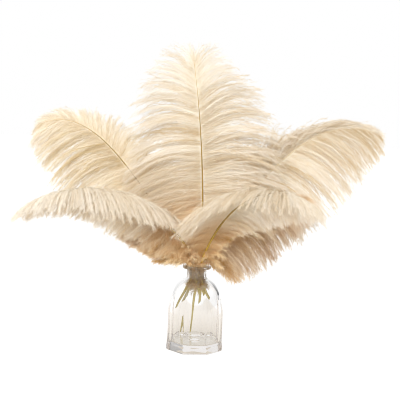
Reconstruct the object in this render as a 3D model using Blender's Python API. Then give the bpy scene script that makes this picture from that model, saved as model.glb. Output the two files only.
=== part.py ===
"""Seven cream ostrich plumes standing in a small octagonal clear glass bottle.

Every size below is in millimetres; the solids are written in metres, +Z up, with the origin at
the middle of the bottle's foot. +X is the viewer's right and +Y points away from the viewer.
"""
import math
import random
from dataclasses import dataclass

import bmesh
import bpy
from mathutils import Vector
from mathutils.bvhtree import BVHTree

MM = 0.001
UP = Vector((0, 0, 1))

# Bottle: an octagonal body that rounds off into a domed shoulder, a short neck and a flared lip.
ACROSS_FLATS = 73.0
BOTTLE_HEIGHT = 113.0
BOTTLE_TURN = 1.5          # degrees that the front flat is turned about the upright axis
CORNER_CUT = 1.3           # degrees of each flat's edge given to its softened corner
FOOT_FLARE = 0.8           # how far the foot stands proud of the body, each side
FOOT_HEIGHT = 9.0
FOOT_BEVEL = 2.3
SHOULDER_START = 50.0
NECK_START = 95.0
NECK_RADIUS = 13.0
BORE_RADIUS = 10.0
LIP_RADIUS = 19.5
LIP_THICKNESS = 4.0
WALL = 3.2
FLOOR_THICKNESS = 10.5
FLOOR_DOME = 1.5           # rise of the inside floor towards its middle
SHOULDER_STEPS = 5

# Plumes: quills are square in section here, and every vane is cut into locks of barbs.
NECK_LEVEL = 104.0         # height at which each quill's place in the neck is given
LOCKS_PER_SIDE = 20
SPREAD = 0.15              # share of the length over which a quill bends out above the neck
QUILL_HALF = 1.15          # half the quill's thickness in the neck
TIP_HALF = 0.45            # half the shaft's thickness at its tip
LOCK_WIDTHS = (0.97, 0.92, 0.25)      # of the root's width, at each ring of a lock
LOCK_THICKNESS = (1.3, 1.0, 0.5)      # at each ring of a lock
LOCK_RINGS = (0.30, 0.72, 1.0)        # where the rings lie along a lock
LOCK_STEPS = 14
FULLNESS = 12.0            # degrees that locks stand forward and back of the vane, in turn
LOWEST_SHARE = 0.35        # length of the lowest barbs, as a share of full growth
BRUSH_START = 0.94         # share of the vane from where the barbs close up into a brush
BRUSH_CLOSED = 0.9         # share of their angle that the last barbs lose
BRUSH_SHORTENED = 0.45     # share of their length that the last barbs lose
CLEARANCE = 0.35           # kept between one plume and the next
SHORTENED = (1.0, 0.85, 0.7, 0.55, 0.4, 0.25)
SWUNG = (0, -14, 14, -28, 28, -42)    # degrees a crowded lock swings back or forward

CREAM = (0.83, 0.69, 0.50, 1.0)
WARM_CREAM = (0.85, 0.70, 0.44, 1.0)
TAN = (0.68, 0.50, 0.33, 1.0)
GLASS = (0.93, 0.92, 0.91, 1.0)


@dataclass
class Vane:
    """One side of a plume. Each triple gives its value at the base, the middle and the tip."""
    reach: tuple            # barb length
    angles: tuple           # degrees between barb and shaft
    hang: tuple             # how strongly the barb bends down towards its end
    lift: tuple = (0, 0, 0)  # degrees by which it leaves the shaft towards the face
    fold: float = 0.0       # how strongly it bends towards the plume's face
    grown: float = 0.15     # share of the vane over which the barbs reach their full length


@dataclass
class Plume:
    """One feather: a straight quill through the neck, then a shaft that arches to its tip."""
    name: str
    neck: tuple             # x, y where the quill crosses NECK_LEVEL
    slope: tuple            # x and y travel for each unit of height, in the neck
    foot: float             # height of the quill's cut end
    blade: tuple            # heading and tilt in degrees just above the neck
    tip: tuple              # heading and tilt in degrees at the tip
    bend: float             # 1 bends evenly, more keeps the bend for the tip
    length: float           # from NECK_LEVEL to the tip
    face: tuple             # the way the open face looks
    bare: float             # length of bare shaft above NECK_LEVEL
    left: Vane
    right: Vane
    color: tuple


PLUMES = (
    Plume("lower_left_feather", (1.5, 3), (-0.30, -0.32), 70, (200, 32.4), (214, 118.5), 1.32, 286,
          (-0.1, -1, 0.5), 30,
          Vane((28, 48, 24), (92, 48, 24), (0.55, 0.35, 0.4), (20, -20, 5), 0.05),
          Vane((44, 90, 28), (80, 112, -20), (0.2, 2.0, 0.3), (0, 84, 85), 0.0, 0.5), CREAM),
    Plume("lower_right_feather", (3, -2), (0.15, -0.34), 16, (313, 27), (334, 128), 2, 234,
          (0.1, -1, 0.4), 30,
          Vane((32, 100, 8), (62, 112, -25), (0.5, 1.0, 1.0), (-4, 68, 120), 0.0, 0.65),
          Vane((32, 62, 20), (55, 48, 30), (0.1, 0.8, 0.6), (-5, -20, 0), 0.15, 0.45), CREAM),
    Plume("center_feather", (6, 2), (0.01, 0.06), 62, (163, 0.6), (169, 9.9), 1.44, 284,
          (0, -1, 0.15), 46,
          Vane((90, 110, 32), (92, 81, 24), (0.35, 0.95, 0.45), (5, -10, 5), 0.05),
          Vane((98, 106, 30), (86, 68, 26), (0.55, 0.85, 0.8), (0, -12, 15), 0.2), CREAM),
    Plume("upper_left_feather", (-4, -5.5), (-0.34, 0.26), 74, (153, 41.5), (177, 122), 5, 330,
          (-0.1, -1, 0.35), 60,
          Vane((24, 99, 24), (80, 68, 22), (0.6, 1.05, 0.5), (5, 15, 0), 0.05),
          Vane((58, 46, 18), (100, 60, 20), (0.2, 0.7, 0.4), (-25, -5, 10), 0.05), WARM_CREAM),
    Plume("upper_right_feather", (-1.5, 5), (0.36, 0.28), 64, (22, 40), (-2, 114), 4, 342,
          (0.1, -1, 0.35), 80,
          Vane((92, 66, 26), (68, 22, 10), (1.1, 0.9, 0.4), (-8, 22, 5), -0.05),
          Vane((64, 100, 32), (78, 62, 24), (0.75, 1.0, 0.7), (-10, 0, 4), 0.08), CREAM),
    Plume("low_left_feather", (0.5, -6), (-0.48, -0.05), 68, (178, 49), (187, 86), 1.27, 112,
          (-0.2, -1, 0.3), 24,
          Vane((36, 33, 12), (52, 26, 14), (0.1, 0.15, 0.4), (-15, -5, 0)),
          Vane((36, 36, 26), (70, 60, 22), (0.5, 0.5, 0.5)), TAN),
    Plume("low_right_feather", (-2.5, -2), (0.48, -0.04), 54, (5, 51), (358, 77), 4.5, 180,
          (0.2, -1, 0.3), 28,
          Vane((50, 38, 14), (66, 50, 22), (0.5, 0.5, 0.5)),
          Vane((44, 62, 26), (76, 67, 24), (0.8, 1.1, 1.0), (5, -27, 10), -0.08, 0.08), TAN),
)


def heading(azimuth, tilt):
    """Unit vector that leans `tilt` degrees from upright towards `azimuth` (0 right, 90 back)."""
    a, t = math.radians(azimuth), math.radians(tilt)
    return Vector((math.cos(a) * math.sin(t), math.sin(a) * math.sin(t), math.cos(t)))


def smooth(x):
    x = min(max(x, 0.0), 1.0)
    return x * x * (3 - 2 * x)


def shaft_direction(plume, u):
    """Direction of the shaft at the fraction u of its length above the neck."""
    quill = Vector((*plume.slope, 1)).normalized()
    arch = heading(*plume.blade).slerp(heading(*plume.tip), u ** plume.bend)
    return quill.lerp(arch, smooth(u / SPREAD)).normalized()


def shaft_stations(plume):
    """(place, direction) pairs: two on the straight quill, some on the bare shaft, then one at
    each end of every lock."""
    bare_share = plume.bare / plume.length
    shares = [bare_share * i / 4 for i in range(1, 4)]
    shares += [bare_share + (1 - bare_share) * i / LOCKS_PER_SIDE for i in range(LOCKS_PER_SIDE + 1)]
    slope = Vector((*plume.slope, 1))
    place = Vector((*plume.neck, NECK_LEVEL))
    stations = [(place + slope * (plume.foot - NECK_LEVEL), slope.normalized()),
                (place.copy(), slope.normalized())]
    fine = 8
    last = 0.0
    for share in shares:
        for i in range(fine):
            middle = last + (share - last) * (i + 0.5) / fine
            place += shaft_direction(plume, middle) * plume.length * (share - last) / fine
        stations.append((place.copy(), shaft_direction(plume, share)))
        last = share
    return stations


def across(direction, face):
    """The side vector (to the viewer's right) and the face vector of a vane on a shaft."""
    front = (face - direction * direction.dot(face)).normalized()
    return direction.cross(front).normalized(), front


def shaft_rails(plume, stations):
    """Four corners of the shaft at each station: front left, front right, back right, back left."""
    rails = []
    face = Vector(plume.face)
    for index, (place, direction) in enumerate(stations):
        share = index / (len(stations) - 1)
        half = QUILL_HALF + (TIP_HALF - QUILL_HALF) * smooth(share)
        side, front = across(direction, face)
        rails.append([place + side * half * sx + front * half * sy
                      for sx, sy in ((-1, 1), (1, 1), (1, -1), (-1, -1))])
    return rails


def profile(values, w):
    """A smooth curve through a vane's base, middle and tip values, at the share w of its length."""
    base, middle, tip = values
    pull = 2 * middle - (base + tip) / 2
    return (1 - w) ** 2 * base + 2 * w * (1 - w) * pull + w * w * tip


def lock_rings(plume, vane, sign, start, end, w, chance, shorten=1.0, swing=0.0, swell=0.0):
    """Corners of a lock's rings, each as (front base, front tip, back tip, back base)."""
    root = (start[0] + end[0]) / 2
    along = (end[0] - start[0]).normalized()
    side, front = across(along, Vector(plume.face))
    side *= sign
    closing = smooth((w - BRUSH_START) / (1 - BRUSH_START))
    angle = math.radians(profile(vane.angles, w) * (1 - BRUSH_CLOSED * closing) + chance[0])
    lift = math.radians(profile(vane.lift, w) + swing + chance[2])
    hang = profile(vane.hang, w)
    outward = side * math.cos(lift) + front * math.sin(lift)
    leaving = along * math.cos(angle) + outward * math.sin(angle)
    growth = LOWEST_SHARE + (1 - LOWEST_SHARE) * smooth(w / vane.grown)
    growth *= 1 - BRUSH_SHORTENED * closing
    reach = profile(vane.reach, w) * growth * shorten * chance[1]
    root_width = (end[0] - start[0]).length
    rings = []
    point = root.copy()
    step = 0
    for share, width, thickness in zip(LOCK_RINGS, LOCK_WIDTHS, LOCK_THICKNESS):
        while step < round(share * LOCK_STEPS):
            t = (step + 0.5) / LOCK_STEPS
            direction = (leaving - UP * hang * t ** 1.3 + front * vane.fold * t).normalized()
            point = point + direction * reach / LOCK_STEPS
            step += 1
        tipward = (along - direction * direction.dot(along)).normalized()
        flat = direction.cross(tipward).normalized() * sign
        half_width = tipward * (root_width * width * max(math.sin(angle), 0.35) / 2 + swell)
        half_thick = flat * (thickness / 2 + swell)
        rings.append([point - half_width + half_thick, point + half_width + half_thick,
                      point + half_width - half_thick, point - half_width - half_thick])
    return rings


def tube_of(rings):
    """Vertices and faces of an open tube through rings of four corners."""
    verts = [corner for ring in rings for corner in ring]
    faces = []
    for k in range(len(rings) - 1):
        for i in range(4):
            j = (i + 1) % 4
            faces.append((4 * k + i, 4 * k + j, 4 * k + 4 + j, 4 * k + 4 + i))
    faces.append(tuple(range(len(verts) - 4, len(verts))))
    return verts, faces


def merged(tubes):
    """One search tree for many tubes."""
    verts = []
    faces = []
    for tube_verts, tube_faces in tubes:
        first = len(verts)
        verts += tube_verts
        faces += [tuple(first + i for i in face) for face in tube_faces]
    return BVHTree.FromPolygons(verts, faces)


def grown_locks(plume, stations, rails, obstacles):
    """Rings of every lock, by (side, station). A crowded lock swings aside or ends short."""
    chance = random.Random(plume.name)
    first = len(stations) - 1 - LOCKS_PER_SIDE
    locks = {}
    for sign, vane in ((-1, plume.left), (1, plume.right)):
        for k in range(LOCKS_PER_SIDE):
            w = (k + 0.5) / LOCKS_PER_SIDE
            luck = (chance.uniform(-1.5, 1.5), chance.uniform(0.93, 1.07),
                    FULLNESS if k % 2 else -FULLNESS)
            near, far = rails[first + k], rails[first + k + 1]
            root = [near[0], far[0], far[3], near[3]] if sign < 0 else \
                [near[1], far[1], far[2], near[2]]
            own = merged([tube_of(rings[1:]) for rings in locks.values()])
            for shorten, swing in ((a, b) for a in SHORTENED for b in SWUNG):
                place = (plume, vane, sign, stations[first + k], stations[first + k + 1], w, luck,
                         shorten, swing)
                rings = lock_rings(*place)
                swollen = [root] + lock_rings(*place, CLEARANCE)
                if not BVHTree.FromPolygons(*tube_of(swollen)).overlap(obstacles) and \
                        not BVHTree.FromPolygons(*tube_of(rings)).overlap(own):
                    locks[sign, first + k] = [root] + rings
                    break
    return locks


def material(name, color, roughness, transmission=0.0):
    made = bpy.data.materials.new(name)
    made.use_nodes = True
    shader = made.node_tree.nodes["Principled BSDF"]
    shader.inputs["Base Color"].default_value = color
    shader.inputs["Roughness"].default_value = roughness
    shader.inputs["Metallic"].default_value = 0.0
    shader.inputs["Transmission Weight"].default_value = transmission
    made.diffuse_color = color
    return made


def finish(bm, name, made):
    """Writes a mesh in millimetres as a named object in metres."""
    bmesh.ops.recalc_face_normals(bm, faces=bm.faces)
    bmesh.ops.scale(bm, vec=(MM, MM, MM), verts=bm.verts)
    mesh = bpy.data.meshes.new(name)
    bm.to_mesh(mesh)
    bm.free()
    mesh.materials.append(made)
    thing = bpy.data.objects.new(name, mesh)
    bpy.context.scene.collection.objects.link(thing)
    return thing


def build_plume(plume, rails, locks):
    """A closed square tube for the shaft, with a lock drawn out of each of its side faces."""
    bm = bmesh.new()
    rows = [[bm.verts.new(corner) for corner in ring] for ring in rails]
    for k in range(len(rows) - 1):
        near, far = rows[k], rows[k + 1]
        bm.faces.new((near[0], near[1], far[1], far[0]))
        bm.faces.new((near[2], near[3], far[3], far[2]))
        left = bm.faces.new((near[0], far[0], far[3], near[3]))
        right = bm.faces.new((near[1], far[1], far[2], near[2]))
        for sign, face in ((-1, left), (1, right)):
            for ring in locks.get((sign, k), [None])[1:]:
                face = bmesh.ops.extrude_discrete_faces(bm, faces=[face])["faces"][0]
                for vert, corner in zip(face.verts, ring):
                    vert.co = corner
    bm.faces.new(rows[0])
    bm.faces.new(rows[-1])
    bmesh.ops.triangulate(bm, faces=bm.faces)       # a twisted lock has no flat faces of four
    return finish(bm, plume.name, material("barb_" + plume.name, plume.color, 0.85))


def bottle_profile():
    """(half width, height, roundness) rows, up the outside, over the lip and down the inside."""
    half = ACROSS_FLATS / 2
    foot = half + FOOT_FLARE
    rows = [(foot - FOOT_BEVEL, 0, 0), (foot, FOOT_BEVEL, 0), (foot, FOOT_HEIGHT, 0),
            (half, FOOT_HEIGHT + 2, 0), (half, SHOULDER_START, 0)]
    rise = NECK_START - SHOULDER_START
    for i in range(1, SHOULDER_STEPS + 1):
        turn = math.radians(82) * i / SHOULDER_STEPS
        rows.append((NECK_RADIUS + (half - NECK_RADIUS) * math.cos(turn),
                     SHOULDER_START + rise * math.sin(turn), smooth(i / (SHOULDER_STEPS - 1))))
    lip = BOTTLE_HEIGHT - LIP_THICKNESS
    rows += [(NECK_RADIUS, NECK_START + 2.5, 1), (NECK_RADIUS, lip - 1, 1),
             (LIP_RADIUS - 1, lip + 0.3, 1), (LIP_RADIUS, lip + 1.5, 1),
             (LIP_RADIUS, BOTTLE_HEIGHT - 1, 1), (LIP_RADIUS - 1.2, BOTTLE_HEIGHT, 1),
             (BORE_RADIUS + 1.2, BOTTLE_HEIGHT, 1), (BORE_RADIUS, BOTTLE_HEIGHT - 1.6, 1),
             (BORE_RADIUS, NECK_START, 1)]
    inner = half - WALL
    for i in range(SHOULDER_STEPS - 1, 0, -1):
        turn = math.radians(82) * i / SHOULDER_STEPS
        rows.append((BORE_RADIUS + (inner - BORE_RADIUS) * math.cos(turn),
                     SHOULDER_START + (rise - WALL) * math.sin(turn),
                     smooth(i / (SHOULDER_STEPS - 1))))
    rows += [(inner, SHOULDER_START, 0), (inner, FLOOR_THICKNESS + 3, 0),
             (inner - 3, FLOOR_THICKNESS, 0), (inner / 2, FLOOR_THICKNESS + FLOOR_DOME * 0.8, 0.6),
             (inner / 6, FLOOR_THICKNESS + FLOOR_DOME, 1)]
    return rows


def build_bottle():
    """Rings of 24 corners, octagonal low down and round above, joined into one glass body."""
    bm = bmesh.new()
    flat_turn = 45.0
    offsets = (-flat_turn / 2 + CORNER_CUT, 0, flat_turn / 2 - CORNER_CUT)
    rows = []
    for half, height, roundness in bottle_profile():
        ring = []
        for flat in range(8):
            for offset in offsets:
                turn = math.radians(flat * flat_turn + offset + BOTTLE_TURN)
                radius = half * ((1 - roundness) / math.cos(math.radians(offset)) + roundness)
                ring.append(bm.verts.new((radius * math.cos(turn), radius * math.sin(turn),
                                          height)))
        rows.append(ring)
    for low, high in zip(rows, rows[1:]):
        for i in range(len(low)):
            j = (i + 1) % len(low)
            bm.faces.new((low[i], low[j], high[j], high[i]))
    bm.faces.new(rows[0])
    bm.faces.new(rows[-1])
    bottle = finish(bm, "bottle", material("clear_glass", GLASS, 0.03, 1.0))
    bottle.data.shade_smooth()
    bottle.data.set_sharp_from_angle(angle=math.radians(25))
    return bottle


def bottle_obstacle(bottle):
    return [tuple(v.co / MM) for v in bottle.data.vertices], \
        [tuple(p.vertices) for p in bottle.data.polygons]


for old in list(bpy.data.objects):
    bpy.data.objects.remove(old)

glass = bottle_obstacle(build_bottle())
laid = [(plume, shaft_stations(plume)) for plume in PLUMES]
shafts = {plume.name: shaft_rails(plume, stations) for plume, stations in laid}
grown = []
for plume, stations in laid:
    others = [tube_of(rails) for name, rails in shafts.items() if name != plume.name]
    locks = grown_locks(plume, stations, shafts[plume.name], merged([glass] + others + grown))
    build_plume(plume, shafts[plume.name], locks)
    grown += [tube_of(rings) for rings in locks.values()]
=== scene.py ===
"""Cream ostrich plumes in a small octagonal glass bottle: the finished look around the fixed frame.

Sizes are in millimetres until a mesh is written. +X is the viewer's right, +Y is away from the
viewer, +Z is up, and the bottle's foot stands on the floor at the origin.
"""
import math

import bpy
import numpy as np
from mathutils import Matrix


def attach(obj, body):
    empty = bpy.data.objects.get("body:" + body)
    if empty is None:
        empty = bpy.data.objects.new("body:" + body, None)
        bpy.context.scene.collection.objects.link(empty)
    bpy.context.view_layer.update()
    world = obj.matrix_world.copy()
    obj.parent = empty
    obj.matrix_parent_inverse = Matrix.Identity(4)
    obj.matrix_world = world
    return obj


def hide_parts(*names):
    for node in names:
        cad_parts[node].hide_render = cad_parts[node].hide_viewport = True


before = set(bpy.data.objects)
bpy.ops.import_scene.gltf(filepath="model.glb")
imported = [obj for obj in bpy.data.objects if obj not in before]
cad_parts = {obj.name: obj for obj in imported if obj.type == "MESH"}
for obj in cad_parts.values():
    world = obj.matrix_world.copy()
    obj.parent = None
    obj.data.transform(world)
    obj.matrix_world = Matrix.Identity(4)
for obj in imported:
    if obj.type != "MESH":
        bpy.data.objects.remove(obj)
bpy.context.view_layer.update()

# ---------------------------------------------------------------------------------------------
# Glass bottle. One soda-lime glass bottle, pressed and then blown in a mould, with eight flat sides
# that fade into a round shoulder, a short neck and a flared lip. Its floor is thick, and its inside
# is rounder than its outside.
# ---------------------------------------------------------------------------------------------
MM = 0.001
ACROSS_FLATS = 73.0
BOTTLE_HEIGHT = 113.0
BOTTLE_TURN = 1.5           # degrees by which it is turned on the table
FOOT_FLARE = 0.8
FOOT_HEIGHT = 9.0
FOOT_ROUNDING = 2.3
SHOULDER_START = 50.0
NECK_START = 95.0
NECK_RADIUS = 13.0
BORE_RADIUS = 10.0
LIP_RADIUS = 19.5
LIP_THICKNESS = 4.0
WALL = 2.6
INSIDE_ROUNDNESS = 0.75     # 0 is as octagonal as the outside, 1 is round
FLOOR_THICKNESS = 10.5
FLOOR_CORNER = (7.0, 3.5)   # width and height of the curve from the inner wall to the floor
FLOOR_DOME = 1.5
DOME_RADIUS = 13.0
PUNT = 0.6                  # how far the foot is hollowed underneath
PUNT_RIM = 4.0              # width of the flat ring on which the foot stands
FLATS = 8
STEPS_PER_FLAT = 14
CORNER_CRISPNESS = 90.0     # the higher, the tighter the softened corners of the glass


def smooth(x):
    """Eases from 0 to 1 as x does, and stays level outside."""
    x = np.clip(x, 0.0, 1.0)
    return x * x * (3 - 2 * x)


def arc(center, radii, start, stop, steps):
    """(half width, height) points on an elliptical arc, angles in degrees."""
    turns = np.radians(np.linspace(start, stop, steps + 1))
    return [(center[0] + radii[0] * math.cos(a), center[1] + radii[1] * math.sin(a)) for a in turns]


def bottle_profile():
    """(half width, height, roundness) from the middle of the foot, over the lip, to the floor."""
    half = ACROSS_FLATS / 2
    foot = half + FOOT_FLARE
    rise = NECK_START - SHOULDER_START
    rows = [(r, 0.05 + PUNT * math.cos(r / (foot - PUNT_RIM) * math.pi / 2), 1 - r / foot)
            for r in (3, 8, 13, 18, 23, 28)]
    rows += [(foot - PUNT_RIM, 0.05, 0), (foot - FOOT_ROUNDING - 0.1, 0.02, 0)]
    rows += [(r, h, 0) for r, h in arc((foot - FOOT_ROUNDING, FOOT_ROUNDING),
                                       (FOOT_ROUNDING, FOOT_ROUNDING), -80, 0, 6)]
    rows += [(foot, FOOT_HEIGHT - 2, 0), (foot - 0.1, FOOT_HEIGHT - 0.5, 0),
             (half + 0.35, FOOT_HEIGHT + 0.8, 0), (half, FOOT_HEIGHT + 2.2, 0)]
    rows += [(half, h, 0) for h in np.linspace(FOOT_HEIGHT + 6, SHOULDER_START - 4, 5)]
    rows += [(r, h, smooth((h - SHOULDER_START) / (rise * 0.72)))
             for r, h in arc((NECK_RADIUS, SHOULDER_START), (half - NECK_RADIUS, rise), 0, 82, 22)]
    lip = BOTTLE_HEIGHT - LIP_THICKNESS
    rows += [(NECK_RADIUS + 0.9, NECK_START + 1.2, 1), (NECK_RADIUS, NECK_START + 3, 1),
             (NECK_RADIUS, lip - 3, 1), (NECK_RADIUS + 0.5, lip - 1.2, 1),
             (NECK_RADIUS + 2.2, lip - 0.1, 1), (LIP_RADIUS - 2, lip + 0.2, 1)]
    rows += [(r, h, 1) for r, h in
             arc((LIP_RADIUS - 1.6, lip + LIP_THICKNESS / 2 + 0.1), (1.6, LIP_THICKNESS / 2 - 0.1),
                 -70, 80, 8)]
    rows += [(BORE_RADIUS + 3.5, BOTTLE_HEIGHT - 0.05, 1)]
    rows += [(r, h, 1) for r, h in
             arc((BORE_RADIUS + 2, BOTTLE_HEIGHT - 2.2), (2, 2.1), 90, 180, 6)]
    rows += [(BORE_RADIUS, h, 1) for h in (BOTTLE_HEIGHT - 6, NECK_START + 6, NECK_START)]
    inner = half - WALL
    rounded = INSIDE_ROUNDNESS
    rows += [(r, h, rounded + (1 - rounded) * smooth((h - SHOULDER_START) / (rise * 0.6)))
             for r, h in arc((BORE_RADIUS, SHOULDER_START), (inner - BORE_RADIUS, rise - WALL),
                             82, 0, 22)]
    rows += [(inner, 40, rounded), (inner, 25, rounded)]
    rows += [(r, h, rounded) for r, h in
             arc((inner - FLOOR_CORNER[0], FLOOR_THICKNESS + FLOOR_CORNER[1]), FLOOR_CORNER,
                 0, -88, 10)]
    rows += [(r, FLOOR_THICKNESS + FLOOR_DOME * (1 - smooth(r / DOME_RADIUS)), 1)
             for r in (18, 13, 11.5, 10, 8, 6, 4, 2, 1)]
    return np.array(rows)


def write_mesh(name, verts, faces, smooth_shaded=True):
    """A mesh object from millimetre points, standing at the origin."""
    mesh = bpy.data.meshes.new(name)
    verts = np.asarray(verts, dtype=np.float32) * MM
    faces = np.asarray(faces, dtype=np.int32)
    size = faces.shape[1]
    mesh.vertices.add(len(verts))
    mesh.vertices.foreach_set("co", verts.ravel())
    mesh.loops.add(faces.size)
    mesh.loops.foreach_set("vertex_index", faces.ravel())
    mesh.polygons.add(len(faces))
    mesh.polygons.foreach_set("loop_start", np.arange(0, faces.size, size, dtype=np.int32))
    mesh.polygons.foreach_set("use_smooth", np.full(len(faces), smooth_shaded))
    mesh.update(calc_edges=True)
    piece = bpy.data.objects.new(name, mesh)
    bpy.context.scene.collection.objects.link(piece)
    return piece


def linear(hex_color):
    """sRGB hex to a linear colour with alpha."""
    parts = [int(hex_color[i:i + 2], 16) / 255 for i in (1, 3, 5)]
    return [p / 12.92 if p <= 0.04045 else ((p + 0.055) / 1.055) ** 2.4 for p in parts] + [1.0]


def add_node(tree, kind, inputs=(), **settings):
    """Adds a node; an input is a value, or another node's output to link from."""
    made = tree.nodes.new(kind)
    for key, value in settings.items():
        setattr(made, key, value)
    for key, value in dict(inputs).items():
        if isinstance(value, bpy.types.NodeSocket):
            tree.links.new(value, made.inputs[key])
        else:
            made.inputs[key].default_value = value
    return made


def new_material(name):
    """A material, its nodes, and the Principled shader among them."""
    made = bpy.data.materials.new(name)
    made.use_nodes = True
    return made, made.node_tree, made.node_tree.nodes["Principled BSDF"]


GLASS_WAVE = 14.0           # from one wave in the pressed surface to the next
GLASS_WAVE_DEPTH = 0.3


def pressed_glass():
    """Soda-lime glass, pressed and fire-polished: clear, glossy, faintly wavy, and a little warm
    grey where it is thick."""
    made, tree, shader = new_material("pressed_soda_lime_glass")
    shader.inputs["Base Color"].default_value = linear("#FFFFFF")
    shader.inputs["Roughness"].default_value = 0.0
    shader.inputs["IOR"].default_value = 1.5
    shader.inputs["Transmission Weight"].default_value = 1.0
    place = add_node(tree, "ShaderNodeTexCoord")
    waves = add_node(tree, "ShaderNodeTexNoise", {"Vector": place.outputs["Object"],
                                                  "Scale": 1 / (GLASS_WAVE * MM), "Detail": 1.0})
    bump = add_node(tree, "ShaderNodeBump", {"Height": waves.outputs["Fac"], "Strength": 0.25,
                                             "Distance": GLASS_WAVE_DEPTH * MM})
    tree.links.new(bump.outputs["Normal"], shader.inputs["Normal"])
    tint = add_node(tree, "ShaderNodeVolumeAbsorption",
                    {"Color": linear("#E9E0DA"), "Density": 6.0})
    tree.links.new(tint.outputs["Volume"], tree.nodes["Material Output"].inputs["Volume"])
    return made


def build_bottle():
    """The profile swept round its axis, as octagonal or as round as each of its rows says."""
    rows = bottle_profile()
    across = np.sin(np.linspace(-1, 1, STEPS_PER_FLAT, endpoint=False) * math.pi / 2)
    offsets = np.radians(180 / FLATS) * across
    turns = (np.arange(FLATS)[:, None] * 2 * math.pi / FLATS + offsets[None]).ravel()
    flats = np.arange(FLATS) * 2 * math.pi / FLATS
    faced = np.clip(np.cos(turns[:, None] - flats[None]), 0, 1) ** CORNER_CRISPNESS
    octagon = faced.sum(1) ** (-1 / CORNER_CRISPNESS)
    half, height, roundness = rows.T
    radius = half[:, None] * ((1 - roundness)[:, None] * octagon[None] + roundness[:, None])
    turned = turns + math.radians(BOTTLE_TURN)
    ring = np.stack([radius * np.cos(turned), radius * np.sin(turned),
                     np.repeat(height[:, None], len(turns), 1)], axis=-1)
    count = len(turns)
    here = np.arange(len(rows) - 1)[:, None] * count + np.arange(count)[None]
    beside = np.arange(len(rows) - 1)[:, None] * count + (np.arange(count)[None] + 1) % count
    quads = np.stack([here, beside, beside + count, here + count], axis=-1).reshape(-1, 4)
    verts = np.vstack([ring.reshape(-1, 3), [[0, 0, height[0]], [0, 0, height[-1]]]])
    foot_middle, floor_middle = len(verts) - 2, len(verts) - 1
    around = np.arange(count)
    last = (len(rows) - 1) * count
    foot_cap = np.stack([np.full(count, foot_middle), (around + 1) % count, around], -1)
    floor_cap = np.stack([np.full(count, floor_middle), last + around,
                          last + (around + 1) % count], -1)
    triangles = np.vstack([quads[:, [0, 1, 2]], quads[:, [0, 2, 3]], foot_cap, floor_cap])
    return write_mesh("glass_bottle", verts, triangles)


bottle = build_bottle()
bottle.data.materials.append(pressed_glass())
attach(bottle, "root")
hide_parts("bottle")

# ---------------------------------------------------------------------------------------------
# Feather shafts. Each is one length of keratin: a smooth yellow quill with a slanting cut end in
# the bottle, then a shaft that thins to a hair at the tip. It arches because the plume was steamed.
# ---------------------------------------------------------------------------------------------
NECK_LEVEL = 104.0          # height at which each quill's place in the neck is given
SPREAD = 0.15               # share of the length over which a quill bends out above the neck
QUILL_RADIUS = 1.75
TIP_RADIUS = 0.22
SHAFT_FLATTENING = 0.1      # how much wider one way than the other the shaft gets
CUT_LENGTH = 3.0            # of the quill's end that the slanting cut reaches
CUT_SLANT = 1.6
SHAFT_STEPS = 240
QUILL_STEPS = 24
SHAFT_SIDES = 10


def heading(azimuth, tilt):
    """Unit vector that leans `tilt` degrees from upright towards `azimuth` (0 right, 90 back)."""
    a, t = math.radians(azimuth), math.radians(tilt)
    return np.array([math.cos(a) * math.sin(t), math.sin(a) * math.sin(t), math.cos(t)])


def unit(v):
    """The same directions, each of length 1."""
    return v / np.linalg.norm(v, axis=-1, keepdims=True)


def shaft_line(plume):
    """Points, directions, side vectors, face vectors and distances along one shaft.

    The distance is counted from the neck level and is negative down in the bottle."""
    length = plume["length"]
    quill = unit(np.array([*plume["slope"], 1.0]))
    start, stop = heading(*plume["blade"]), heading(*plume["tip"])
    angle = math.acos(float(start @ stop))
    share = (np.arange(SHAFT_STEPS) + 0.5) / SHAFT_STEPS
    turned = (share ** plume["bend"])[:, None] * angle
    arch = (np.sin(angle - turned) * start + np.sin(turned) * stop) / math.sin(angle)
    spread = smooth(share / SPREAD)[:, None]
    direction = unit((1 - spread) * quill + spread * arch)
    neck = np.array([*plume["neck"], NECK_LEVEL])
    above = neck + np.vstack([np.zeros(3), np.cumsum(direction * length / SHAFT_STEPS, axis=0)])
    below = (plume["foot"] - NECK_LEVEL) / quill[2] * np.linspace(1, 0.03, QUILL_STEPS)
    points = np.vstack([neck + quill * below[:, None], above])
    distance = np.concatenate([below, np.linspace(0, length, SHAFT_STEPS + 1)])
    tangent = unit(np.gradient(points, distance, axis=0))
    face = np.array(plume["face"], dtype=float)
    front = unit(face - (tangent @ face)[:, None] * tangent)
    return points, tangent, np.cross(tangent, front), front, distance


def shaft_radius(share):
    """Half the shaft's depth at a share of its length above the neck."""
    return QUILL_RADIUS + (TIP_RADIUS - QUILL_RADIUS) * np.clip(share, 0, 1)


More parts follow.
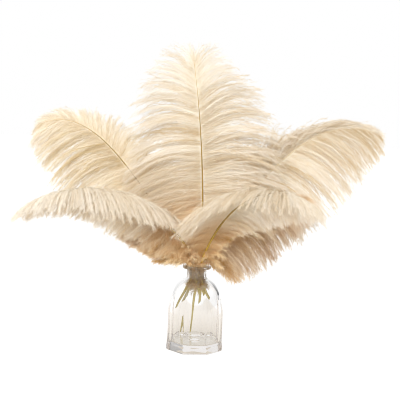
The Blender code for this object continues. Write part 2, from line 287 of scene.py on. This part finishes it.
def build_shaft(name, plume):
    """A tapering tube from the quill's cut end to the tip, with how far along it each point is."""
    points, tangent, side, front, distance = shaft_line(plume)
    length = plume["length"]
    share = np.clip(distance / length, 0, 1)
    radius = shaft_radius(share)
    flatten = 1 - SHAFT_FLATTENING * smooth(share * 3)
    cut_end = distance - distance[0]
    radius = radius * (0.86 + 0.14 * smooth(2 * cut_end / CUT_LENGTH))
    turn = np.arange(SHAFT_SIDES) * 2 * math.pi / SHAFT_SIDES
    ring = points[:, None] + radius[:, None, None] * (
        np.cos(turn)[None, :, None] * side[:, None] * flatten[:, None, None]
        + np.sin(turn)[None, :, None] * front[:, None])
    slant = np.clip(1 - cut_end / CUT_LENGTH, 0, 1)[:, None, None]
    ring = ring + slant * tangent[:, None] * (np.cos(turn)[None, :, None] * CUT_SLANT)
    rows, sides = len(points), SHAFT_SIDES
    here = np.arange(rows - 1)[:, None] * sides + np.arange(sides)[None]
    beside = np.arange(rows - 1)[:, None] * sides + (np.arange(sides)[None] + 1) % sides
    quads = np.stack([here, beside, beside + sides, here + sides], -1).reshape(-1, 4)
    verts = np.vstack([ring.reshape(-1, 3), points[:1], points[-1:]])
    around = np.arange(sides)
    last = (rows - 1) * sides
    caps = np.vstack([
        np.stack([np.full(sides, len(verts) - 2), (around + 1) % sides, around], -1),
        np.stack([np.full(sides, len(verts) - 1), last + around, last + (around + 1) % sides], -1)])
    triangles = np.vstack([quads[:, [0, 1, 2]], quads[:, [0, 2, 3]], caps])
    piece = write_mesh(name + "_shaft", verts, triangles)
    along = np.concatenate([np.repeat(distance / length, sides), [distance[0] / length, 1.0]])
    layer = piece.data.attributes.new("along", "FLOAT", "POINT")
    layer.data.foreach_set("value", along.astype(np.float32))
    return piece


KERATIN_LINE = 0.4          # between the fine lines along a quill, coarser than the real 0.1 mm
LINE_STRETCH = 0.02
COLOR_PLACES = (0.04, 0.35, 0.7)


def quill_keratin(name, *colors):
    """Keratin like a fingernail: waxy, ochre in the hollow quill and browner in the shaft, with
    fine lines along it. The five colours go from the neck of the bottle to the tip."""
    made, tree, shader = new_material(name)
    shader.inputs["IOR"].default_value = 1.55
    shader.inputs["Specular IOR Level"].default_value = 0.15
    along = add_node(tree, "ShaderNodeAttribute", attribute_name="along")
    ramp = add_node(tree, "ShaderNodeValToRGB", {"Fac": along.outputs["Fac"]})
    stops = ramp.color_ramp.elements
    stops[0].position, stops[0].color = 0.0, linear(colors[0])
    stops[1].position, stops[1].color = 1.0, linear(colors[-1])
    for share, color in zip(COLOR_PLACES, colors[1:4]):
        stops.new(share).color = linear(color)
    place = add_node(tree, "ShaderNodeTexCoord")
    stretch = add_node(tree, "ShaderNodeMapping", {"Vector": place.outputs["Object"],
                                                   "Scale": (1.0, 1.0, LINE_STRETCH)})
    lines = add_node(tree, "ShaderNodeTexNoise", {"Vector": stretch.outputs["Vector"],
                                                  "Scale": 1 / (KERATIN_LINE * MM), "Detail": 2.0})
    rough = add_node(tree, "ShaderNodeMapRange", {"Value": lines.outputs["Fac"],
                                                  "To Min": 0.5, "To Max": 0.65})
    bump = add_node(tree, "ShaderNodeBump", {"Height": lines.outputs["Fac"], "Strength": 0.15,
                                             "Distance": 0.05 * MM})
    tree.links.new(ramp.outputs["Color"], shader.inputs["Base Color"])
    tree.links.new(rough.outputs["Result"], shader.inputs["Roughness"])
    tree.links.new(bump.outputs["Normal"], shader.inputs["Normal"])
    return made


# ---------------------------------------------------------------------------------------------
# Feather vanes. Each barb is a hair of keratin, fringed on both sides with soft barbules, and
# neighbouring barbs cling together in locks that droop under their own weight. Around the base of
# the shaft the barbs are golden brown down, which the glass neck gathers.
# ---------------------------------------------------------------------------------------------
BARB_STEPS = 9
BARB_PITCH = 0.62           # distance between one barb and the next along the shaft
BARB_WIDTH = 0.8            # a barb with the barbules that lie close along it
BARBULE_WIDTH = 0.52        # wider than the real 0.05 mm, so that it shows in the render
BARBULE_LENGTH = 9.0
BARBULE_DROOP = 0.08
THINNING = 0.05             # how much sparser the fringe is at a barb's tip than at its root
BARBULE_ROLL = (38.0, 20.0)             # spread, in degrees, of how far barbules leave the vane,
                                        # and what the down adds to it
BARBULE_SPLAY = (32.0, -8.0, 10.0)      # degrees between a barbule and its barb's root, and what
                                        # the barb's tip and the down add to them
BARBS_PER_LOCK = 7.0
LOCKS_PER_CLUMP = 3.0
BRUSH_START = 0.94          # share of the vane after which the last barbs close up into a brush
STRAY_BARBS = 0.06          # share of the barbs that leave their lock
DOWN_BARBS = 60
DOWN_START = -26.0          # how deep in the bottle's neck the down begins


def vane(reach, angles, hang, lift=(0, 0, 0), fold=0.0, grown=0.15, loose=1.0, golden=62.0,
         shade=0.0):
    """One side of a plume. Each triple is for its base, middle and tip: the barbs' length, degrees
    between barb and shaft, droop, and degrees by which a barb leaves towards the plume's face. The
    barbs are full grown from the share `grown` of the vane, stand apart as much as `loose` tells,
    fade from golden down to cream over the distance `golden`, and are darker by `shade` towards
    the tip; a `shade` below zero makes them lighter there, as painted light."""
    return dict(reach=reach, angles=angles, hang=hang, lift=lift, fold=fold, grown=grown,
                loose=loose, golden=golden, shade=shade)


def profile(values, w):
    """A smooth curve through a vane's base, middle and tip values."""
    base, middle, tip = values
    pull = 2 * middle - (base + tip) / 2
    return (1 - w) ** 2 * base + 2 * w * (1 - w) * pull + w * w * tip


def on_shaft(plume, at):
    """Place, direction, side and face vectors at distances along the shaft."""
    points, tangent, side, front, distance = shaft_line(plume)
    return [np.stack([np.interp(at, distance, values[:, i]) for i in range(3)], axis=1)
            for values in (points, tangent, side, front)]


def swept(root, leaving, face, size, hang, fold, sway, chance):
    """Centre lines that leave their roots, sag, fold towards the face and sway a little."""
    count = len(root)
    t = ((np.arange(BARB_STEPS) + 0.5) / BARB_STEPS)[None, :, None]
    swing = unit(chance.normal(size=(count, 3)))[:, None] * sway[:, None, None]
    wave = np.sin(chance.uniform(3.0, 8.0, count)[:, None, None] * t
                  + chance.uniform(0, 6.28, count)[:, None, None])
    direction = unit(leaving[:, None] + hang[:, None, None] * t ** 1.3 * np.array([0, 0, -1.0])
                     + fold * t * face[:, None] + swing * wave * np.sqrt(t))
    steps = direction * (size / BARB_STEPS)[:, None, None]
    return root[:, None] + np.concatenate([np.zeros((count, 1, 3)), np.cumsum(steps, axis=1)], 1)


def grow_barbs(plume, side, sign, chance):
    """Centre lines of one side's barbs, and each barb's shaft direction, share of the barbules,
    tone and downiness."""
    start, length = plume["bare"] - 6, plume["length"]
    count = int((length - start) / BARB_PITCH)
    w = (np.arange(count) + 0.5 + chance.uniform(-0.3, 0.3, count)) / count
    at = start + (length - start) * w
    root, along, out, face = on_shaft(plume, at)
    along, out, face = unit(along), unit(out) * sign, unit(face)
    root = root + (0.8 * out - 0.4 * face) * shaft_radius(at / length)[:, None]
    lock = np.cumsum(chance.uniform(0, 1, count) < 1 / BARBS_PER_LOCK)
    locks = lock[-1] + 1
    clump = np.cumsum(chance.uniform(0, 1, locks) < 1 / LOCKS_PER_CLUMP)

    def spread(low, high):
        """A random number for each barb, in part its own, in part its lock's and its clump's."""
        shares = (chance.uniform(low, high, count), chance.uniform(low, high, locks)[lock],
                  chance.uniform(low, high, clump[-1] + 1)[clump[lock]])
        return 0.57 * shares[0] + 0.33 * shares[1] + 0.1 * shares[2]
    stray = chance.uniform(0, 1, count) < STRAY_BARBS
    closing = smooth((w - BRUSH_START) / (1 - BRUSH_START))
    grown = 0.35 + 0.65 * smooth(w / side["grown"])
    size = profile(side["reach"], w) * grown * spread(0.88, 1.18)
    size = size * (1 - 0.45 * closing) * (1 - 0.4 * chance.uniform(0, 1, count) ** 2.5)
    angle = profile(side["angles"], w) * (1 - 0.9 * closing) + spread(-4, 4) * side["loose"]
    angle = np.radians(angle + np.where(stray, spread(-14, 14), 0))
    loosened = spread(-11, 11) + np.where(stray, spread(-30, 30), 0)
    lift = np.radians(profile(side["lift"], w) + loosened * side["loose"])
    leaving = np.cos(angle)[:, None] * along + np.sin(angle)[:, None] * (
        np.cos(lift)[:, None] * out + np.sin(lift)[:, None] * face)
    hang = profile(side["hang"], w) * chance.uniform(0.8, 1.25, count)
    line = swept(root, leaving, face, size, hang, side["fold"],
                 spread(0.1, 0.5) * (0.4 + 0.6 * side["loose"]), chance)
    gathered = np.zeros((locks, BARB_STEPS + 1, 3))
    np.add.at(gathered, lock, line)
    gathered /= np.maximum(np.bincount(lock, minlength=locks), 1)[:, None, None]
    cling = np.where(stray, 0, spread(0.0, 0.35) * (0.3 + 0.7 * side["loose"]))[:, None]
    cling = cling * smooth(np.linspace(0, 1, BARB_STEPS + 1) / 0.7)[None]
    line += (gathered[lock] - line) * cling[:, :, None]
    # Painted shade: a random tone for each lock and barb, which the material turns into streaks of
    # shadow colour.
    tone = 0.5 * chance.uniform(0, 1, locks)[lock] + 0.5 * chance.uniform(0, 1, count)
    # Painted light: tones are lowered towards the plume's tip, so the tips come out paler; `shade`
    # then darkens towards the vane's tip, and below zero paints light there.
    tone = 0.5 + (tone - 0.5) * (0.3 + 0.7 * side["loose"]) - 0.35 * smooth((w - 0.6) / 0.4)
    tone = tone + side["shade"] * w ** 3
    fringe = size * (1 - 0.5 * smooth((w - 0.6) / 0.4))
    return line, along, fringe, tone, 1 - smooth((at - 8) / side["golden"])


def grow_down(plume, chance):
    """Loose barbs all round the shaft, from inside the neck to where the vanes begin."""
    count = DOWN_BARBS
    at = chance.uniform(DOWN_START, plume["bare"] + 14, count)
    root, along, out, face = on_shaft(plume, at)
    turn = chance.uniform(0, 2 * math.pi, count)[:, None]
    out, face = np.cos(turn) * out + np.sin(turn) * face, np.cos(turn) * face - np.sin(turn) * out
    angle = np.radians(chance.uniform(35, 80, count))[:, None]
    size = chance.uniform(13, 20, count) + 10 * smooth(at / 40)
    line = swept(root, np.cos(angle) * along + np.sin(angle) * out, face, size,
                 chance.uniform(0.1, 1.0, count), 0.0, chance.uniform(0.3, 0.9, count), chance)
    tone = chance.uniform(-0.4, 0.6, count)
    # Painted light: the down is made less golden inside the neck, where the glass shades it.
    return line, along, size, tone, 0.45 + 0.4 * smooth((at + 8) / 16)


# The bottle's inside and outside, as heights and radii. Above the mouth the inside opens out.
INSIDE = ((0, 50, 70, 85, 92, 95, 109, 114, 124, 140),
          (31, 31, 27, 18, 11, 9.3, 9.3, 10.5, 26, 400))
OUTSIDE = ((0, 50, 70, 85, 95, 97, 108, 109), (38, 37, 34, 26, 14, 13, 13, 20))
UNDER_LIP = 106.0
FIBRE_GAP = 0.8             # between the glass and the fibres that lie on it


def kept_off_glass(line):
    """Fibres rooted in the neck stay in its bore; others rest on the lip or hang outside."""
    radius = np.hypot(line[..., 0], line[..., 1])
    height = line[..., 2]
    bore = np.interp(height, *INSIDE)
    shell = np.interp(height, *OUTSIDE)
    inside = (line[:, :1, 2] < BOTTLE_HEIGHT + 6) & (height < INSIDE[0][-1])
    under = height < UNDER_LIP
    outer = np.where(under, np.maximum(radius, shell + FIBRE_GAP), radius)
    scale = np.where(inside, bore * np.tanh(radius / bore), outer) / np.maximum(radius, 0.01)
    above = BOTTLE_HEIGHT + FIBRE_GAP
    on_lip = ~inside & ~under & (height < above) & (radius < LIP_RADIUS + 0.6)
    line[..., 0] *= scale
    line[..., 1] *= scale
    line[..., 2] = np.where(on_lip, above, height)
    return line


def within_vane(along, direction):
    """The vane's own direction square to its barbs: the shaft's, less what runs along the barb."""
    return unit(along - (along * direction).sum(-1, keepdims=True) * direction)


def barb_blades(line, along, tone, down, chance):
    """Flat tapering blades along the barbs' centre lines, each rolled a little its own way."""
    count, rows = line.shape[:2]
    direction = unit(np.gradient(line, axis=1))
    flat = within_vane(along[:, None], direction)
    roll = np.radians(chance.normal(0, 30, count))[:, None, None]
    across = np.cos(roll) * flat + np.sin(roll) * np.cross(flat, direction)
    t = np.linspace(0, 1, rows)
    half = BARB_WIDTH / 2 * np.minimum(0.8 + t / 0.15, 1) * (1 - 0.85 * t ** 1.5)
    edges = line[:, :, None] + half[None, :, None, None] * np.stack([-across, across], axis=2)
    first = (np.arange(count)[:, None] * rows + np.arange(rows - 1)[None]) * 2
    faces = np.concatenate([np.stack([first, first + 1, first + 3], -1),
                            np.stack([first, first + 3, first + 2], -1)], axis=1)
    layers = [np.repeat(v, 2, axis=1).ravel() for v in
              (np.repeat(t[None], count, 0), np.repeat(tone[:, None], rows, 1),
               np.repeat(down[:, None], rows, 1), np.zeros((count, rows)))]
    return edges.reshape(-1, 3), faces.reshape(-1, 3), layers


def barbule_fringe(line, along, fringe, tone, down, number, chance):
    """Slender triangles on both sides of every barb, shared out as `fringe` tells."""
    weight = fringe * (1 + 0.8 * down)
    share = np.cumsum(weight) / weight.sum()
    barb = np.minimum(np.searchsorted(share, chance.uniform(0, 1, number)), len(line) - 1)
    t = (1 - np.sqrt(1 - THINNING * (2 - THINNING) * chance.uniform(0, 1, number))) / THINNING
    place = t * BARB_STEPS
    low = np.minimum(place.astype(int), BARB_STEPS - 1)
    part = (place - low)[:, None]
    root = line[barb, low] * (1 - part) + line[barb, low + 1] * part
    direction = unit(line[barb, low + 1] - line[barb, low])
    flat = within_vane(along[barb], direction)
    normal = np.cross(flat, direction)
    roll = BARBULE_ROLL[0] + BARBULE_ROLL[1] * down[barb]
    roll = np.radians(chance.normal(0, 1, number) * roll)
    sign = np.where(chance.uniform(0, 1, number) < 0.5, -1.0, 1.0)
    outward = flat * (np.cos(roll) * sign)[:, None] + normal * np.sin(roll)[:, None]
    splay = BARBULE_SPLAY[0] + BARBULE_SPLAY[1] * t + BARBULE_SPLAY[2] * down[barb]
    splay = np.radians(splay + chance.uniform(-9, 9, number))
    tip_way = direction * np.cos(splay)[:, None] + outward * np.sin(splay)[:, None]
    long = BARBULE_LENGTH * chance.uniform(0.55, 1.1, number) * (1 - 0.3 * t)
    half = direction * (BARBULE_WIDTH / 2 * chance.uniform(0.7, 1.15, number))[:, None]
    tip = root + tip_way * long[:, None]
    tip[:, 2] -= BARBULE_DROOP * long
    verts = np.stack([root - half, root + half, tip], axis=1).reshape(-1, 3)
    faces = np.arange(3 * number).reshape(-1, 3)
    # Painted shade: each barbule's tip is marked to be mixed a little towards the shadow colour.
    painted_shade = np.tile([0.0, 0.0, 1.0], number)
    shade = np.clip(tone[barb] + chance.uniform(-0.3, 0.3, number), 0, 1)
    return verts, faces, [np.repeat(t, 3), np.repeat(shade, 3), np.repeat(down[barb], 3), painted_shade]


def build_vanes(name, plume, seed):
    """Both vanes and the down of one plume, in one mesh, with what colours each point."""
    chance = np.random.default_rng(seed)
    parts = [grow_barbs(plume, plume["left"], -1, chance),
             grow_barbs(plume, plume["right"], 1, chance), grow_down(plume, chance)]
    line, along, fringe, tone, down = (np.concatenate(v) for v in zip(*parts))
    line = kept_off_glass(line)
    verts, faces, layers = barb_blades(line, along, tone, down, chance)
    more = barbule_fringe(line, along, fringe, tone, down, plume["barbules"], chance)
    faces = np.vstack([faces, more[1] + len(verts)])
    verts = np.vstack([verts, more[0]])
    piece = write_mesh(name + "_barbs", verts, faces, smooth_shaded=False)
    for title, first, second in zip(("along", "tone", "down", "fringe"), layers, more[2]):
        layer = piece.data.attributes.new(title, "FLOAT", "POINT")
        layer.data.foreach_set("value", np.concatenate([first, second]).astype(np.float32))
    return piece


def dyed_barbs(name, root, middle, tip, shadow):
    """Barbs of keratin, bleached and dyed: matt, soft and pale, with light passing through, and
    golden brown in the down near the quill. Painted shade: each barb is mixed towards the shadow
    colour by its random tone, as streaks of shade between the locks, and barbule tips a little
    more."""
    made, tree, shader = new_material(name)
    shader.inputs["IOR"].default_value = 1.4
    shader.inputs["Specular IOR Level"].default_value = 0.2
    shader.inputs["Sheen Weight"].default_value = 0.15
    shader.inputs["Sheen Roughness"].default_value = 0.5
    along, tone, down, fringe = (add_node(tree, "ShaderNodeAttribute", attribute_name=title)
                                 for title in ("along", "tone", "down", "fringe"))
    ramp = add_node(tree, "ShaderNodeValToRGB", {"Fac": along.outputs["Fac"]})
    stops = ramp.color_ramp.elements
    stops[0].position, stops[0].color = 0.0, linear(root)
    stops[1].position, stops[1].color = 1.0, linear(tip)
    stops.new(0.35).color = linear(middle)
    # Painted shade: how far each point is mixed towards the shadow colour, from its barb's tone and
    # its barbule's tip.
    share = add_node(tree, "ShaderNodeMath", {0: tone.outputs["Fac"], 1: 2.2}, operation="POWER")
    painted_shade = add_node(tree, "ShaderNodeMath", {0: fringe.outputs["Fac"], 1: 0.15,
                                             2: share.outputs["Value"]}, operation="MULTIPLY_ADD")
    shaded = add_node(tree, "ShaderNodeMixRGB", {"Fac": painted_shade.outputs["Value"],
                                                 "Color1": ramp.outputs["Color"],
                                                 "Color2": linear(shadow)})
    outer = add_node(tree, "ShaderNodeMapRange", {"Value": along.outputs["Fac"], "To Min": 1.0,
                                                  "To Max": 0.7})
    inner = add_node(tree, "ShaderNodeMath", {0: down.outputs["Fac"], 1: outer.outputs["Result"]},
                     operation="MULTIPLY")
    gold = add_node(tree, "ShaderNodeValToRGB", {"Fac": inner.outputs["Value"]})
    stops = gold.color_ramp.elements
    stops[0].position, stops[0].color = 0.2, linear("#FBF2DF")
    stops[1].position, stops[1].color = 1.0, linear("#E9C270")
    stops.new(0.8).color = linear("#F9E6BE")
    near = add_node(tree, "ShaderNodeMapRange", {"Value": inner.outputs["Value"], "From Max": 0.4})
    # Painted shade in the down: the shadow mix turns the gold towards a darker brown.
    deep = add_node(tree, "ShaderNodeMath", {0: painted_shade.outputs["Value"], 1: near.outputs["Result"]},
                    operation="MULTIPLY")
    shaded_gold = add_node(tree, "ShaderNodeMixRGB", {"Fac": deep.outputs["Value"],
                                                  "Color1": gold.outputs["Color"],
                                                  "Color2": linear("#CC9F50")})
    brown = add_node(tree, "ShaderNodeMixRGB", {"Fac": near.outputs["Result"],
                                                "Color1": shaded.outputs["Color"],
                                                "Color2": shaded_gold.outputs["Color"]})
    rough = add_node(tree, "ShaderNodeMapRange", {"Value": tone.outputs["Fac"],
                                                  "To Min": 0.6, "To Max": 0.8})
    tree.links.new(brown.outputs["Color"], shader.inputs["Base Color"])
    tree.links.new(rough.outputs["Result"], shader.inputs["Roughness"])
    glow = add_node(tree, "ShaderNodeBsdfTranslucent", {"Color": brown.outputs["Color"]})
    mixed = add_node(tree, "ShaderNodeMixShader", {0: 0.3, 1: shader.outputs["BSDF"],
                                                   2: glow.outputs["BSDF"]})
    tree.links.new(mixed.outputs["Shader"], tree.nodes["Material Output"].inputs["Surface"])
    return made


# The plumes are dyed in three shades, and the upper right one's shaft is bleached almost white.
keratin = quill_keratin("quill_keratin", "#ECD88E", "#CFAE4A", "#9C8040", "#9E8650", "#DCC79C")
pale_keratin = quill_keratin("pale_quill_keratin", "#F0E2B4", "#D9C27A", "#DCC9A0", "#E6D8BC",
                             "#F0E6D0")
cream = dyed_barbs("dyed_barbs_cream", "#F8F3E7", "#FBF7EE", "#F6F0E6", "#D6C096")
warm_cream = dyed_barbs("dyed_barbs_warm_cream", "#F6EEDE", "#FBF6EA", "#F5EEE2", "#D6C08E")
tan = dyed_barbs("dyed_barbs_tan", "#D2B084", "#E8D2AE", "#F4EADA", "#C49C68")

# For each plume: where its quill crosses the neck, how the quill slopes, the height of its cut
# end, the direction of the shaft above the neck and at its tip (azimuth and degrees from upright),
# how late it bends, its length above the neck, the way its face looks, the length of bare quill,
# its two vanes as seen from its face with the tip up, the number of its barbules, and its finish.
PLUMES = {
    "center_feather": dict(
        neck=(6, 2), slope=(0.01, 0.06), foot=62, blade=(163, 0.6), tip=(169, 9.9), bend=1.44,
        length=284, face=(0, -1, 0.15), bare=46,
        left=vane((90, 110, 32), (92, 81, 24), (0.35, 0.95, 0.45), (5, -10, 5), 0.05, golden=135),
        right=vane((98, 106, 30), (86, 68, 26), (0.55, 0.85, 0.8), (0, -12, 15), 0.2, golden=120),
        barbules=180000, finish=cream, slot="cream_barbs"),
    "upper_left_feather": dict(
        neck=(-4, -5.5), slope=(-0.34, 0.26), foot=74, blade=(153, 41.5), tip=(177, 122), bend=5,
        length=330, face=(-0.1, -1, 0.35), bare=60,
        left=vane((24, 99, 24), (80, 68, 22), (0.6, 1.05, 0.5), (5, 15, 0), 0.05),
        right=vane((58, 46, 18), (100, 60, 20), (0.2, 0.7, 0.4), (-25, -5, 10), 0.05),
        barbules=135000, finish=warm_cream, slot="warm_cream_barbs"),
    "upper_right_feather": dict(
        neck=(-1.5, 5), slope=(0.36, 0.28), foot=64, blade=(22, 40), tip=(-2, 114), bend=4,
        length=342, face=(0.1, -1, 0.35), bare=80,
        left=vane((92, 66, 26), (68, 22, 10), (1.1, 0.9, 0.4), (-8, 22, 5), -0.05),
        right=vane((64, 100, 32), (78, 62, 24), (0.75, 1.0, 0.7), (-10, 0, 4), 0.08, loose=1.2,
                   shade=0.7),
        barbules=140000, finish=cream, shaft=pale_keratin, slot="cream_barbs"),
    # Painted light: the right vane's negative shade lightens the shaded ridge; the left vane's
    # golden reach is partly the down's own colour and partly painted light on the shaded underside.
    "lower_left_feather": dict(
        neck=(1.5, 3), slope=(-0.30, -0.32), foot=70, blade=(200, 32.4), tip=(214, 118.5),
        bend=1.32, length=286, face=(-0.1, -1, 0.5), bare=30,
        left=vane((28, 48, 24), (92, 48, 24), (0.55, 0.35, 0.4), (20, -20, 5), 0.05, golden=130),
        right=vane((14, 80, 28), (74, 112, -20), (-0.3, 2.0, 0.3), (-30, 84, 85), 0.0, 0.7, 0.15,
                   shade=-0.15),
        barbules=130000, finish=cream, slot="cream_barbs"),
    # Painted light: the long golden reach and the right vane's negative shade lighten the inside of
    # the fold, which lies in shade.
    "lower_right_feather": dict(
        neck=(3, -2), slope=(0.15, -0.34), foot=13, blade=(313, 27), tip=(334, 128), bend=2,
        length=234, face=(0.1, -1, 0.4), bare=30,
        left=vane((32, 100, 8), (62, 112, -25), (0.5, 1.0, 1.0), (-4, 68, 120), 0.0, 0.65, 0.35,
                  golden=130, shade=0.3),
        right=vane((32, 53, 18), (55, 48, 30), (0.1, 0.8, 0.6), (-5, -20, 0), 0.15, 0.45,
                   golden=110, shade=-0.3),
        barbules=125000, finish=cream, slot="cream_barbs"),
    "low_left_feather": dict(
        neck=(0.5, -6), slope=(-0.48, -0.05), foot=68, blade=(178, 49), tip=(187, 86), bend=1.27,
        length=112, face=(-0.2, -1, 0.3), bare=24,
        left=vane((36, 33, 12), (52, 26, 14), (0.1, 0.15, 0.4), (-15, -5, 0), golden=120),
        right=vane((36, 36, 26), (70, 60, 22), (0.5, 0.5, 0.5), golden=120),
        barbules=50000, finish=tan, slot="tan_barbs"),
    "low_right_feather": dict(
        neck=(-2.5, -2), slope=(0.48, -0.04), foot=54, blade=(5, 51), tip=(358, 77), bend=4.5,
        length=180, face=(0.2, -1, 0.3), bare=28,
        left=vane((40, 24, 8), (66, 50, 22), (0.5, 0.5, 0.5)),
        right=vane((44, 62, 26), (76, 67, 24), (0.8, 1.1, 1.0), (5, -27, 10), -0.08, 0.08),
        barbules=80000, finish=tan, slot="tan_barbs"),
}
for seed, (name, plume) in enumerate(PLUMES.items()):
    shaft = build_shaft(name, plume)
    shaft.data.materials.append(plume.get("shaft", keratin))
    barbs = build_vanes(name, plume, seed)
    barbs.data.materials.append(plume["finish"])
    for piece in (shaft, barbs):
        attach(piece, "root")
        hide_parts(name)

# ---------------------------------------------------------------------------------------------
# Studio. A wide sheet of white paper under a white sky, a large soft light high in front on the
# left, a weak one from above, and a camera level with the feathers. What is seen through the glass
# is a little darker: painted shade on the paper near the foot, which only rays through the glass
# see, and a dark flag on the right, as in a light tent.
FLOOR_REACH = 6000.0
PAPER_GRAIN = 3.0
PAPER_GLOW = 0.88           # the light that the paper gets from the tent's walls

corners = [(x * FLOOR_REACH, y * FLOOR_REACH, 0) for x, y in ((-1, -1), (1, -1), (1, 1), (-1, 1))]
floor = write_mesh("white_floor", corners, [(0, 1, 2, 3)])
paper, tree, shader = new_material("white_paper_sweep")
shader.inputs["Base Color"].default_value = linear("#7C7C7C")
grain = add_node(tree, "ShaderNodeTexNoise", {"Scale": 1 / (PAPER_GRAIN * MM)})
matt = add_node(tree, "ShaderNodeMapRange", {"Value": grain.outputs["Fac"], "To Min": 0.8,
                                             "To Max": 0.95})
tree.links.new(matt.outputs["Result"], shader.inputs["Roughness"])
shader.inputs["Emission Strength"].default_value = PAPER_GLOW
spot = add_node(tree, "ShaderNodeTexCoord")
reach = add_node(tree, "ShaderNodeVectorMath", {0: spot.outputs["Object"]}, operation="LENGTH")
# Painted shade: seen through the glass, the paper is a warm grey near the bottle's foot and fades
# to white 0.25 m away; seen directly, it glows white.
near = add_node(tree, "ShaderNodeValToRGB", {"Fac": reach.outputs["Value"]})
stops = near.color_ramp.elements
stops[0].position, stops[0].color = 0.03, linear("#D2CABB")
stops[1].position, stops[1].color = 0.25, linear("#FFFFFF")
for metres, color in ((0.12, "#E6DED3"), (0.235, "#EFE9E1")):
    stops.new(metres).color = linear(color)
passed = add_node(tree, "ShaderNodeLightPath")
paper_glow_with_painted_shade = add_node(tree, "ShaderNodeMixRGB", {"Fac": passed.outputs["Is Singular Ray"],
                                            "Color1": linear("#FFFFFF"),
                                            "Color2": near.outputs["Color"]})
tree.links.new(paper_glow_with_painted_shade.outputs["Color"], shader.inputs["Emission Color"])
floor.data.materials.append(paper)

SKY_LIGHT = 0.5             # what the sky gives the feathers, where 1 is the white that is seen
GLASS_GAIN = 3.6            # how much it gives more to what stands inside the glass
FLAG_TOP = (0.25, 0.6)      # heights between which the flag fades out, as parts of a direction

sky = bpy.data.worlds.new("studio_sky")
bpy.context.scene.world = sky
sky.use_nodes = True
tree = sky.node_tree
back = tree.nodes["Background"]
way = add_node(tree, "ShaderNodeTexCoord")
parts = add_node(tree, "ShaderNodeSeparateXYZ", {"Vector": way.outputs["Generated"]})
sideways = add_node(tree, "ShaderNodeMapRange", {"Value": parts.outputs["X"], "From Min": -1.0})
low = add_node(tree, "ShaderNodeMapRange", {"Value": parts.outputs["Z"], "From Min": FLAG_TOP[0],
                                            "From Max": FLAG_TOP[1], "To Min": 1.0, "To Max": 0.0},
               interpolation_type="SMOOTHSTEP")
flag = add_node(tree, "ShaderNodeValToRGB", {"Fac": sideways.outputs["Result"]})
stops = flag.color_ramp.elements
stops[0].position, stops[0].color = 0.15, linear("#7C7C7C")
stops[1].position, stops[1].color = 0.8, linear("#F0F0F0")
for share in (0.35, 0.6):
    stops.new(share).color = linear("#000000")
dark = add_node(tree, "ShaderNodeMath", {0: flag.outputs["Color"], 1: low.outputs["Result"]},
                operation="MULTIPLY")
seen = add_node(tree, "ShaderNodeLightPath")
through = add_node(tree, "ShaderNodeMapRange", {"Value": dark.outputs["Value"], "To Min": 0.95,
                                                 "To Max": 0.0})
landed = add_node(tree, "ShaderNodeMath", {0: seen.outputs["Diffuse Depth"], 1: 1.0},
                  operation="MINIMUM")
gain = add_node(tree, "ShaderNodeMath", {0: landed.outputs["Value"], 1: GLASS_GAIN, 2: 1.0},
                operation="MULTIPLY_ADD")
bright = add_node(tree, "ShaderNodeMath", {0: through.outputs["Result"], 1: gain.outputs["Value"]},
                  operation="MULTIPLY")
lit = add_node(tree, "ShaderNodeMix", {"Factor": seen.outputs["Is Singular Ray"], "A": SKY_LIGHT,
                                       "B": bright.outputs["Value"]})
level = add_node(tree, "ShaderNodeMix", {"Factor": seen.outputs["Is Camera Ray"],
                                         "A": lit.outputs["Result"], "B": 1.0})
tree.links.new(level.outputs["Result"], back.inputs["Strength"])
back.inputs["Color"].default_value = linear("#FFFFFF")


def soft_sun(name, way_to_light, spread, power, color):
    """A distant light as wide as `spread` degrees, as a large softbox far off would be. The glass
    neither mirrors it nor shows it."""
    light = bpy.data.lights.new(name, "SUN")
    light.angle = math.radians(spread)
    light.energy = power
    light.color = linear(color)[:3]
    lamp = bpy.data.objects.new(name, light)
    out = unit(np.array(way_to_light, dtype=float))
    right = unit(np.cross((0, 0, 1), out))
    up = np.cross(out, right)
    lamp.matrix_world = Matrix([[right[i], up[i], out[i], 0] for i in range(3)] + [[0, 0, 0, 1]])
    lamp.visible_glossy = False
    lamp.visible_transmission = False
    bpy.context.scene.collection.objects.link(lamp)


soft_sun("key_light", (-0.4, -1.0, 0.7), 40, 2.95, "#FFFDFA")
soft_sun("top_light", (0.3, 0.1, 1.0), 70, 0.6, "#FFFFFF")

# The photo's frame is 400 by 400 pixels and shows 1.32 mm to the pixel at the bottle.
FOCAL_PIXELS = 812.0
FRAME_PIXELS = 400.0
SENSOR = 36.0
EYE = (0.0006, -1.0718, 0.3274)     # in metres
PITCH_DOWN = 6.72
ROLL = 2.2
camera_data = bpy.data.cameras.new("camera")
camera_data.sensor_width = SENSOR
camera_data.lens = FOCAL_PIXELS / FRAME_PIXELS * SENSOR
camera_data.clip_end = 50
camera = bpy.data.objects.new("camera", camera_data)
pitch, roll = math.radians(PITCH_DOWN), math.radians(ROLL)
ahead = np.array([0, math.cos(pitch), -math.sin(pitch)])
level_right = np.array([1.0, 0, 0])
level_up = np.cross(level_right, ahead)
right = level_right * math.cos(roll) + level_up * math.sin(roll)
up = -level_right * math.sin(roll) + level_up * math.cos(roll)
camera.matrix_world = Matrix([[right[i], up[i], -ahead[i], EYE[i]] for i in range(3)]
                             + [[0, 0, 0, 1]])
bpy.context.scene.collection.objects.link(camera)
bpy.context.scene.camera = camera
bpy.context.scene.view_settings.view_transform = "Standard"

# Pale barbs light one another, and light takes many turns inside the thick glass.
BARB_BOUNCES = 10
GLASS_BOUNCES = 32
cycles = bpy.context.scene.cycles
cycles.diffuse_bounces = BARB_BOUNCES
cycles.max_bounces = GLASS_BOUNCES
cycles.glossy_bounces = GLASS_BOUNCES
cycles.transmission_bounces = GLASS_BOUNCES
cycles.filter_width = 1.0
